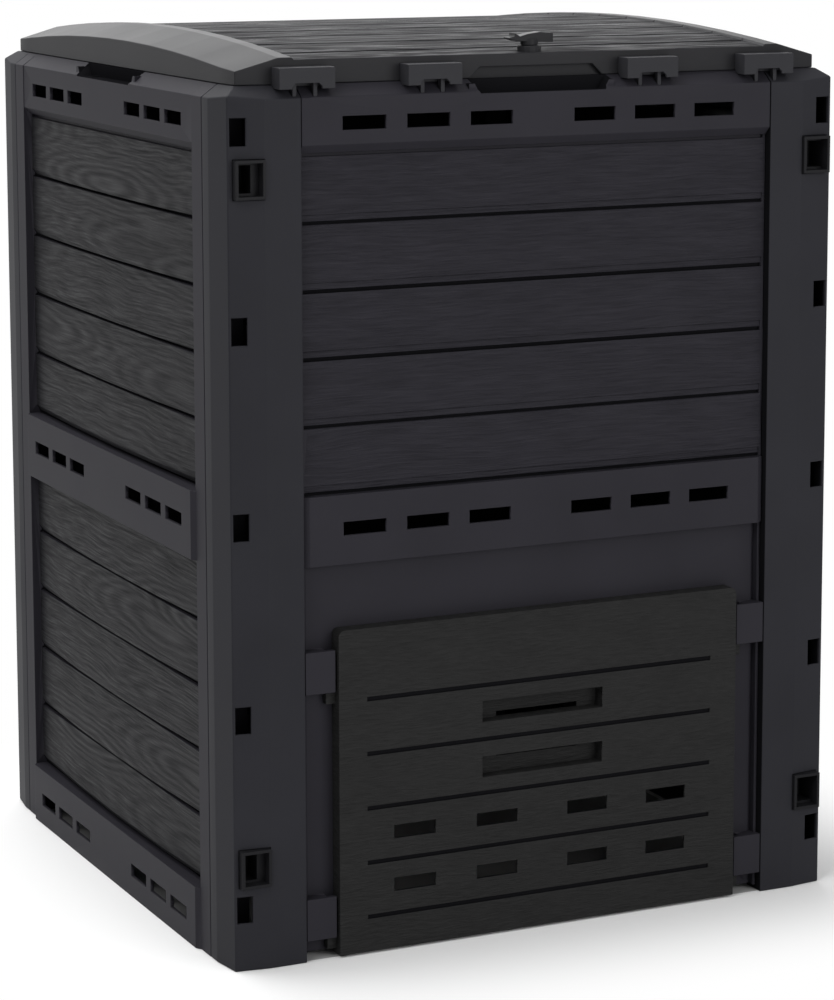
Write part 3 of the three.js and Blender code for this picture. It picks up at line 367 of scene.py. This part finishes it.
def grained_polypropylene(name, colour, roughness, sheen, grain, surface, across):
    """Polypropylene from a mould etched with wood grain.

    Its raised lines are rubbed smoother and its hollows stay dull, so it looks streaked. Near a knot
    the lines run round it, and elsewhere they run with the board. The real lines are about a
    millimetre apart. They are drawn coarser, because that is too fine to show.
    """
    sizes = ("streak", "line", "rings", "contrast")
    streak, line, rings, contrast = (getattr(grain, f"{surface}_{size}") for size in sizes)
    made, tree, shader = new_material(name, colour, roughness, sheen)
    place = add_node(tree, "ShaderNodeTexCoord").outputs["Object"]

    wave = {0: place, 1: cells(across, grain.wave, grain.wave / WAVE_SLENDER)}
    wave = add_node(tree, "ShaderNodeVectorMath", wave, operation="MULTIPLY").outputs[0]
    drift = {"Vector": wave, "Scale": 1, "Detail": 2}
    drift = add_node(tree, "ShaderNodeTexNoise", drift).outputs["Color"]
    bent = {0: drift, 1: (grain.wander,) * 3, 2: place}
    bent = add_node(tree, "ShaderNodeVectorMath", bent, operation="MULTIPLY_ADD").outputs[0]

    fibre = {0: bent, 1: cells(across, streak, line)}
    fibre = add_node(tree, "ShaderNodeVectorMath", fibre, operation="MULTIPLY").outputs[0]
    lines = {"Vector": fibre, "Scale": 1, "Detail": 3, "Roughness": FINE_LINES}
    lines = add_node(tree, "ShaderNodeTexNoise", lines).outputs[0]
    lines = add_node(tree, "ShaderNodeMapRange", {"Value": lines, **GRAIN_SPAN}).outputs[0]

    knot = {0: bent, 1: cells(across, grain.knot, grain.knot_height)}
    knot = add_node(tree, "ShaderNodeVectorMath", knot, operation="MULTIPLY").outputs[0]
    away = add_node(tree, "ShaderNodeTexVoronoi", {"Vector": knot, "Scale": 1}).outputs["Distance"]
    turns = {0: away, 1: 2 * pi * grain.knot_height / grain.ring}
    turns = add_node(tree, "ShaderNodeMath", turns, operation="MULTIPLY").outputs[0]
    ring = add_node(tree, "ShaderNodeMath", {0: turns}, operation="SINE").outputs[0]
    ring = {"Value": ring, "From Min": -1, "To Min": RING_LOW}
    ring = add_node(tree, "ShaderNodeMapRange", ring).outputs[0]
    near = {"Value": away, **KNOT_SPAN, "To Min": rings, "To Max": rings * FAR_RINGS}
    near = add_node(tree, "ShaderNodeMapRange", near).outputs[0]
    height = add_node(tree, "ShaderNodeMix", {0: near, 2: lines, 3: ring}).outputs[0]

    patch = {"Vector": wave, "Scale": PATCHES_IN_WAVE, "Detail": 1}
    patch = add_node(tree, "ShaderNodeTexNoise", patch).outputs[0]
    tint = add_node(tree, "ShaderNodeMix", {0: grain.patches, 2: height, 3: patch}).outputs[0]
    spread = (roughness + contrast * GLOSS_SHARE, roughness - contrast * GLOSS_SHARE)
    vary(tree, shader, colour, contrast, tint, spread, height, height, grain.depth)
    return made


def zinc_plate(name, colour):
    """Zinc-plated steel: a bright grey metal, dulled by the tumbling of the screws."""
    made, tree, shader = new_material(name, colour, sum(ZINC_ROUGHNESS) / 2, METAL_SHEEN)
    shader.inputs["Metallic"].default_value = 1
    place = add_node(tree, "ShaderNodeTexCoord").outputs["Object"]
    speckle = add_node(tree, "ShaderNodeTexNoise", {"Vector": place, "Scale": 1 / SPANGLE}).outputs[0]
    vary(tree, shader, colour, SPANGLE_CONTRAST, speckle, ZINC_ROUGHNESS, speckle)
    return made


def pale_paper(name, stage):
    """Matt studio paper. Away from the bin's shadow the camera sees it white. Under the bin it has a darker
    colour, a painted shade, so that little of it shows through the openings.
    """
    made = bpy.data.materials.new(name)
    made.use_nodes = True
    tree = made.node_tree
    tree.nodes.clear()
    place = add_node(tree, "ShaderNodeTexCoord").outputs["Object"]
    parts = add_node(tree, "ShaderNodeSeparateXYZ", {0: place}).outputs
    across = [add_node(tree, "ShaderNodeMath", {0: part}, operation="ABSOLUTE") for part in parts[:2]]
    reach = {0: across[0].outputs[0], 1: across[1].outputs[0]}
    reach = add_node(tree, "ShaderNodeMath", reach, operation="MAXIMUM").outputs[0]
    # Painted shade: inside this reach the paper takes the darker colour
    under = {0: reach, 1: stage.shade_start}
    under = add_node(tree, "ShaderNodeMath", under, operation="LESS_THAN").outputs[0]
    sheet = {0: under, 6: shade(stage.floor, 1), 7: shade(stage.painted_shade_floor, 1)}
    sheet = add_node(tree, "ShaderNodeMix", sheet, data_type="RGBA").outputs[2]
    paper = add_node(tree, "ShaderNodeBsdfDiffuse", {"Color": sheet}).outputs[0]
    white = add_node(tree, "ShaderNodeEmission", {"Color": (1, 1, 1, 1), "Strength": 1}).outputs[0]
    clear = {"Value": reach, "From Min": stage.shade_start, "From Max": stage.shade_end}
    clear = add_node(tree, "ShaderNodeMapRange", clear, interpolation_type="SMOOTHSTEP").outputs[0]
    share = add_node(tree, "ShaderNodeMath", {0: seen(tree), 1: clear}, operation="MULTIPLY").outputs[0]
    mixed = add_node(tree, "ShaderNodeMixShader", {0: share, 1: paper, 2: white}).outputs[0]
    add_node(tree, "ShaderNodeOutputMaterial", {"Surface": mixed})
    return made


def seen(tree):
    """One where the camera sees the surface, straight or in a mirror or glass, and zero for its light."""
    rays = add_node(tree, "ShaderNodeLightPath").outputs
    first = {0: rays["Is Camera Ray"], 1: rays["Is Glossy Ray"]}
    first = add_node(tree, "ShaderNodeMath", first, operation="MAXIMUM").outputs[0]
    both = {0: first, 1: rays["Is Transmission Ray"]}
    return add_node(tree, "ShaderNodeMath", both, operation="MAXIMUM").outputs[0]


# Meshes


def merged_copy(node):
    """A bmesh of a CAD node with its loose triangles joined and its flat faces made whole.

    A face with a long winding outline is parted again, so that its roundings can't upset all of it.
    """
    shape = bmesh.new()
    shape.from_mesh(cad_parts[node].data)
    bmesh.ops.remove_doubles(shape, verts=shape.verts, dist=WELD)
    bmesh.ops.dissolve_limit(shape, angle_limit=FLAT, verts=shape.verts, edges=shape.edges)
    winding = [face for face in shape.faces if len(face.verts) > MOST_CORNERS]
    bmesh.ops.connect_verts_concave(shape, faces=winding)
    return shape


def room_beside(edge):
    """How wide a rounding of the edge can be before it meets the next one on the sides beside it."""
    way = (edge.verts[1].co - edge.verts[0].co).normalized()
    sides = [side.edge for loop in edge.link_loops for side in (loop.link_loop_prev, loop.link_loop_next)]
    lengths = []
    for side in sides:
        across = side.verts[1].co - side.verts[0].co
        if abs(across.normalized().dot(way)) < ALIGNED:
            lengths.append(ROOM_SHARE * across.length)
    return min(lengths, default=0)


def mark_edges(shape, width, angle):
    """Tells the rounding how wide it is on each outer corner. Inner corners stay sharp, as in the mould."""
    weight = shape.edges.layers.float.new("bevel_weight_edge")
    for edge in shape.edges:
        turn = edge.calc_face_angle_signed(0)
        edge.smooth = turn > -angle
        if turn > angle:
            edge[weight] = min(1, room_beside(edge) / width)


def finished_piece(node, shape, materials, body):
    """Makes a bmesh an object that rides on a body and stands for its CAD node."""
    name = f"{node}_moulding"
    mesh = bpy.data.meshes.new(name)
    shape.to_mesh(mesh)
    shape.free()
    for finish in materials:
        mesh.materials.append(finish)
    piece = bpy.data.objects.new(name, mesh)
    bpy.context.scene.collection.objects.link(piece)
    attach(piece, body)
    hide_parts(node)
    return piece


def round_edges(piece, width, segments, clamp):
    """Rounds the piece's marked edges, as a mould does, and keeps its broad faces flat to the eye."""
    for face in piece.data.polygons:
        face.use_smooth = True
    bevel = piece.modifiers.new("Mould edges", "BEVEL")
    bevel.width = width
    bevel.segments = segments
    bevel.limit_method = "WEIGHT"
    bevel.use_clamp_overlap = clamp
    normals = piece.modifiers.new("Broad faces", "WEIGHTED_NORMAL")
    normals.mode = "FACE_AREA"
    normals.weight = 100
    normals.thresh = BROAD
    normals.keep_sharp = True


def dressed(node, body, slot, materials, width, edges, choose=None, clamp=False):
    """The usual way of a moulding: a merged copy of its node with rounded edges and its finish.

    A slender piece is clamped, so that the roundings on its two sides don't meet.
    """
    shape = merged_copy(node)
    if choose:
        for face in shape.faces:
            face.material_index = choose(face)
    mark_edges(shape, width, edges.trim_angle if slot in TRIM_SLOTS else edges.angle)
    piece = finished_piece(node, shape, materials, body)
    round_edges(piece, width, edges.segments, clamp)


# Finishes and where they go


def material(name, make, *arguments):
    """The material of that name, made the first time it is asked for."""
    return bpy.data.materials.get(name) or make(name, *arguments)


def matt_finish(scene, name, colour):
    """The fine matt texture of the bands and posts."""
    finish = scene.compost_finish
    return material(
        name, matt_polypropylene, colour, finish.roughness, finish.sheen, scene.compost_grain
    )


def smooth_finish(scene, name, colour):
    """The smoother finish of the lid's border, the clips, loops and locks."""
    finish = scene.compost_finish
    return material(
        name, matt_polypropylene, colour, finish.smooth_roughness, finish.smooth_sheen, scene.compost_grain
    )


def rough_painted_shade_finish(scene):
    """Grooves, recesses and the posts' insides, which the mould's cutter leaves roughened, with painted
    shade: a darker colour where little light reaches.
    """
    finish, grain = scene.compost_finish, scene.compost_grain
    rough_and_shade_painted = (finish.groove, finish.groove_roughness, finish.groove_sheen, grain)
    return material("rough_groove_polypropylene", matt_polypropylene, *rough_and_shade_painted)


def wood_finish(scene, surface, colour, sheen, across="Z"):
    """The wood grain of the front and back, of the sides, of the door or of the lid's deck."""
    look = (colour, scene.compost_finish.board_roughness, sheen, scene.compost_grain)
    return material(f"grained_{surface}_polypropylene", grained_polypropylene, *look, surface, across)


def wall_chooser(places, wall):
    """Tells a wall's bands (0), grain (1), and grooves and recesses in painted shade (2) apart by their
    faces.
    """
    facing_y = wall in ("front_wall", "back_wall")
    fields = [(places.upper_foot, places.upper_top)]
    if wall != "front_wall":
        fields.append((places.lower_foot, places.lower_top))

    def choose(face):
        centre = face.calc_center_median()
        reach, aside = (centre.y, centre.x) if facing_y else (centre.x, centre.y)
        out = (face.normal.y if facing_y else face.normal.x) * (1 if reach > 0 else -1)
        depth = places.outside - abs(reach)
        in_recess = centre.z > places.recess_floor and abs(aside) < places.recess_reach
        # Painted shade on the recess's floor and back wall
        if in_recess and depth > places.recess_edge:
            return 2
        if abs(aside) >= places.board_reach or not any(foot < centre.z < top for foot, top in fields):
            return 0
        # Painted shade in the grooves between the boards
        if out > -FACING and places.groove < depth < places.groove_end:
            return 2
        # Painted shade on the downward steps of the rebates
        if face.normal.z < -FACING and depth > places.rebate:
            return 2
        return int(out > FACING)

    return choose


def post_chooser(places):
    """Tells the inside of a post's flanges (1), which lies in shade and gets painted shade, from the rest
    of it (0).
    """

    def choose(face):
        centre, normal = face.calc_center_median(), face.normal
        inward = normal.x * centre.x + normal.y * centre.y < INWARD * abs(centre.x)
        beside = centre.y if abs(normal.x) > abs(normal.y) else centre.x
        return int(inward and places.outside - abs(beside) > places.flange)

    return choose


def door_chooser(places):
    """Tells the floors and sides of the door's grooves (1), which get painted shade, from the rest of it
    (0).
    """
    face_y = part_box("emptying_door")[0].y
    floor_y = face_y + places.door_groove

    def choose(face):
        centre = face.calc_center_median()
        on_floor = abs(centre.y - floor_y) < NEARBY and face.normal.y < -FACING
        on_side = face_y + NEARBY < centre.y < floor_y and abs(face.normal.z) > FACING
        return int(on_floor or on_side)

    return choose


def lid_chooser(places):
    """Tells the lid's smooth faces (0), the deck's wood grain (1) and its grooves in painted shade (2)
    apart.
    """
    low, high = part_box("lid")
    reach = high.x - places.deck_end
    foot = low.z + places.deck_rise

    def choose(face):
        centre = face.calc_center_median()
        if face.normal.z < DECK_FACING or abs(centre.x) > reach or centre.z < foot:
            return 0
        return 2 if abs(face.normal.y) > FACING else 1

    return choose


# Operators, one for each piece or group of like pieces


class COMPOSTBIN_OT_walls(bpy.types.Operator):
    """Dress the four walls"""

    bl_idname = "compost_bin.walls"
    bl_label = "Walls"

    def execute(self, context):
        scene = context.scene
        finish, edges = scene.compost_finish, scene.compost_edges
        plain = matt_finish(scene, "matt_wall_polypropylene", finish.band)
        boards = wood_finish(scene, "front", finish.wall, finish.sheen)
        # The side boards take their darker colour, a painted shade
        side_boards = wood_finish(scene, "side", finish.side_wall_painted_shade, finish.sheen)
        # Painted shade for the grooves and recesses
        rough_and_shade_painted = rough_painted_shade_finish(scene)
        for pair, grained in (("front", "back"), boards), (("right", "left"), side_boards):
            for side in pair:
                wall = f"{side}_wall"
                choose = wall_chooser(scene.compost_places, wall)
                finishes = [plain, grained, rough_and_shade_painted]
                dressed(wall, "bin", "wall_plastic", finishes, edges.wall, edges, choose)
        return {"FINISHED"}


class COMPOSTBIN_OT_posts(bpy.types.Operator):
    """Dress the corner posts and the locks that are pushed through them"""

    bl_idname = "compost_bin.posts"
    bl_label = "Posts and Locks"

    def execute(self, context):
        scene = context.scene
        finish, edges = scene.compost_finish, scene.compost_edges
        post = matt_finish(scene, "matt_post_polypropylene", finish.post)
        black = smooth_finish(scene, "smooth_lock_polypropylene", finish.lock)
        # The second finish is the painted shade inside the flanges
        finishes = [post, rough_painted_shade_finish(scene)]
        choose = post_chooser(scene.compost_places)
        for corner in CORNERS:
            dressed(f"{corner}_post", "bin", "post_plastic", finishes, edges.post, edges, choose)
            for level in LOCK_LEVELS:
                dressed(f"{corner}_{level}_lock", "bin", "trim_plastic", [black], edges.trim, edges)
        return {"FINISHED"}


class COMPOSTBIN_OT_door(bpy.types.Operator):
    """Dress the emptying door"""

    bl_idname = "compost_bin.door"
    bl_label = "Emptying Door"

    def execute(self, context):
        scene = context.scene
        finish, edges = scene.compost_finish, scene.compost_edges
        # The second finish is the painted shade in the grooves
        finishes = [wood_finish(scene, "door", finish.door, finish.sheen), rough_painted_shade_finish(scene)]
        choose = door_chooser(scene.compost_places)
        dressed("emptying_door", "door", "door_plastic", finishes, edges.wall, edges, choose)
        return {"FINISHED"}


class COMPOSTBIN_OT_lid(bpy.types.Operator):
    """Dress the lid"""

    bl_idname = "compost_bin.lid"
    bl_label = "Lid"

    def execute(self, context):
        scene = context.scene
        finish, edges = scene.compost_finish, scene.compost_edges
        plain = smooth_finish(scene, "smooth_lid_polypropylene", finish.lid)
        wood = wood_finish(scene, "deck", finish.lid, finish.deck_sheen, across="Y")
        # The third finish is the painted shade in the deck's grooves
        finishes = [plain, wood, rough_painted_shade_finish(scene)]
        choose = lid_chooser(scene.compost_places)
        dressed("lid", "lid", "lid_plastic", finishes, edges.lid, edges, choose)
        return {"FINISHED"}


class COMPOSTBIN_OT_rim(bpy.types.Operator):
    """Dress the loops on the rim and the clips that hook over them"""

    bl_idname = "compost_bin.rim"
    bl_label = "Loops and Clips"

    def execute(self, context):
        scene = context.scene
        edges = scene.compost_edges
        trim = [smooth_finish(scene, "smooth_trim_polypropylene", scene.compost_finish.trim)]
        for side, clip in (("front", "catch_clip"), ("back", "hinge_clip")):
            for number in range(1, LOOPS_IN_ROW + 1):
                dressed(f"{side}_loop_{number}", "bin", "trim_plastic", trim, edges.trim, edges, clamp=True)
                dressed(f"{clip}_{number}", "lid", "trim_plastic", trim, edges.trim, edges)
        return {"FINISHED"}


class COMPOSTBIN_OT_latch(bpy.types.Operator):
    """Dress the lever, the pawl and the screw"""

    bl_idname = "compost_bin.latch"
    bl_label = "Latch"

    def execute(self, context):
        scene = context.scene
        finish, edges = scene.compost_finish, scene.compost_edges
        look = (finish.lever, finish.lever_roughness, finish.sheen, scene.compost_grain)
        black = material("lever_polypropylene", matt_polypropylene, *look)
        zinc = material("zinc_plated_steel", zinc_plate, finish.zinc)
        dressed("latch_lever", "latch", "latch_plastic", [black], edges.trim, edges)
        dressed("latch_pawl", "latch", "latch_plastic", [black], edges.trim, edges)
        dressed("latch_screw", "latch", "zinc_steel", [zinc], edges.screw, edges)
        return {"FINISHED"}


class COMPOSTBIN_OT_stage(bpy.types.Operator):
    """Set up the floor, the lamps and the camera"""

    bl_idname = "compost_bin.stage"
    bl_label = "Stage"

    def execute(self, context):
        scene = context.scene
        stage = scene.compost_stage
        scene.view_settings.view_transform = "Standard"
        self.lay_floor(scene, stage)
        self.light_surroundings(scene, stage)
        for name, place, size in LAMPS:
            self.hang_lamp(scene, f"{name}_lamp", getattr(stage, name), place, size)
        self.place_camera(scene, stage)
        return {"FINISHED"}

    def lay_floor(self, scene, stage):
        """A wide sheet of paper, just under the bin."""
        shape = bmesh.new()
        bmesh.ops.create_grid(shape, x_segments=1, y_segments=1, size=FLOOR_REACH)
        mesh = bpy.data.meshes.new("floor")
        shape.to_mesh(mesh)
        shape.free()
        mesh.transform(Matrix.Translation((0, 0, -FLOOR_DROP)))
        mesh.materials.append(material("studio_paper", pale_paper, stage))
        floor = bpy.data.objects.new("floor", mesh)
        scene.collection.objects.link(floor)

    def light_surroundings(self, scene, stage):
        """Pale surroundings that light the bin softly and show white behind it."""
        world = bpy.data.worlds.new("studio")
        world.use_nodes = True
        tree = world.node_tree
        tree.nodes.clear()
        strength = {"Value": seen(tree), "To Min": stage.ambient}
        strength = add_node(tree, "ShaderNodeMapRange", strength).outputs[0]
        backdrop = add_node(tree, "ShaderNodeBackground", {"Color": (1, 1, 1, 1), "Strength": strength})
        add_node(tree, "ShaderNodeOutputWorld", {"Surface": backdrop.outputs[0]})
        scene.world = world

    def hang_lamp(self, scene, name, power, place, size):
        """A square soft box that faces the middle of the bin."""
        data = bpy.data.lights.new(name, "AREA")
        data.energy = power
        data.size = size
        lamp = bpy.data.objects.new(name, data)
        lamp.location = place
        middle = (cad_box[0] + cad_box[1]) / 2
        lamp.rotation_euler = (middle - Vector(place)).to_track_quat("-Z", "Y").to_euler()
        scene.collection.objects.link(lamp)

    def place_camera(self, scene, stage):
        """The photographer's place, to the left of the front and a little above the lid."""
        data = bpy.data.cameras.new("camera")
        data.lens = stage.lens
        data.sensor_width = SENSOR_WIDTH
        data.shift_x = stage.shift_x
        data.shift_y = stage.shift_y
        camera = bpy.data.objects.new("camera", data)
        camera.location = CAMERA_PLACE
        yaw, pitch = stage.yaw, stage.pitch
        ahead = Vector((sin(yaw) * cos(pitch), cos(yaw) * cos(pitch), -sin(pitch)))
        camera.rotation_euler = ahead.to_track_quat("-Z", "Y").to_euler()
        scene.collection.objects.link(camera)
        scene.camera = camera


class COMPOSTBIN_PT_panel(bpy.types.Panel):
    """Sizes, colours and steps of the compost bin"""

    bl_idname = "COMPOSTBIN_PT_panel"
    bl_label = "Compost Bin"
    bl_space_type = "VIEW_3D"
    bl_region_type = "UI"
    bl_category = "Compost Bin"

    def draw(self, context):
        for name, group in PROPERTY_GROUPS:
            box = self.layout.box()
            for prop in group.__annotations__:
                box.prop(getattr(context.scene, name), prop)
        for step in STEPS:
            self.layout.operator(step.bl_idname)


PROPERTY_GROUPS = (
    ("compost_finish", CompostBinFinish),
    ("compost_grain", CompostBinGrain),
    ("compost_places", CompostBinPlaces),
    ("compost_edges", CompostBinEdges),
    ("compost_stage", CompostBinStage),
)
STEPS = (
    COMPOSTBIN_OT_stage,
    COMPOSTBIN_OT_posts,
    COMPOSTBIN_OT_walls,
    COMPOSTBIN_OT_door,
    COMPOSTBIN_OT_lid,
    COMPOSTBIN_OT_rim,
    COMPOSTBIN_OT_latch,
)


def register():
    for name, group in PROPERTY_GROUPS:
        bpy.utils.register_class(group)
        setattr(bpy.types.Scene, name, PointerProperty(type=group))
    for step in STEPS:
        bpy.utils.register_class(step)
    bpy.utils.register_class(COMPOSTBIN_PT_panel)


def unregister():
    bpy.utils.unregister_class(COMPOSTBIN_PT_panel)
    for step in reversed(STEPS):
        bpy.utils.unregister_class(step)
    for name, group in reversed(PROPERTY_GROUPS):
        delattr(bpy.types.Scene, name)
        bpy.utils.unregister_class(group)


def main():
    register()
    bpy.ops.compost_bin.stage()
    bpy.ops.compost_bin.posts()
    bpy.ops.compost_bin.walls()
    bpy.ops.compost_bin.door()
    bpy.ops.compost_bin.lid()
    bpy.ops.compost_bin.rim()
    bpy.ops.compost_bin.latch()


if __name__ == "__main__":
    main()
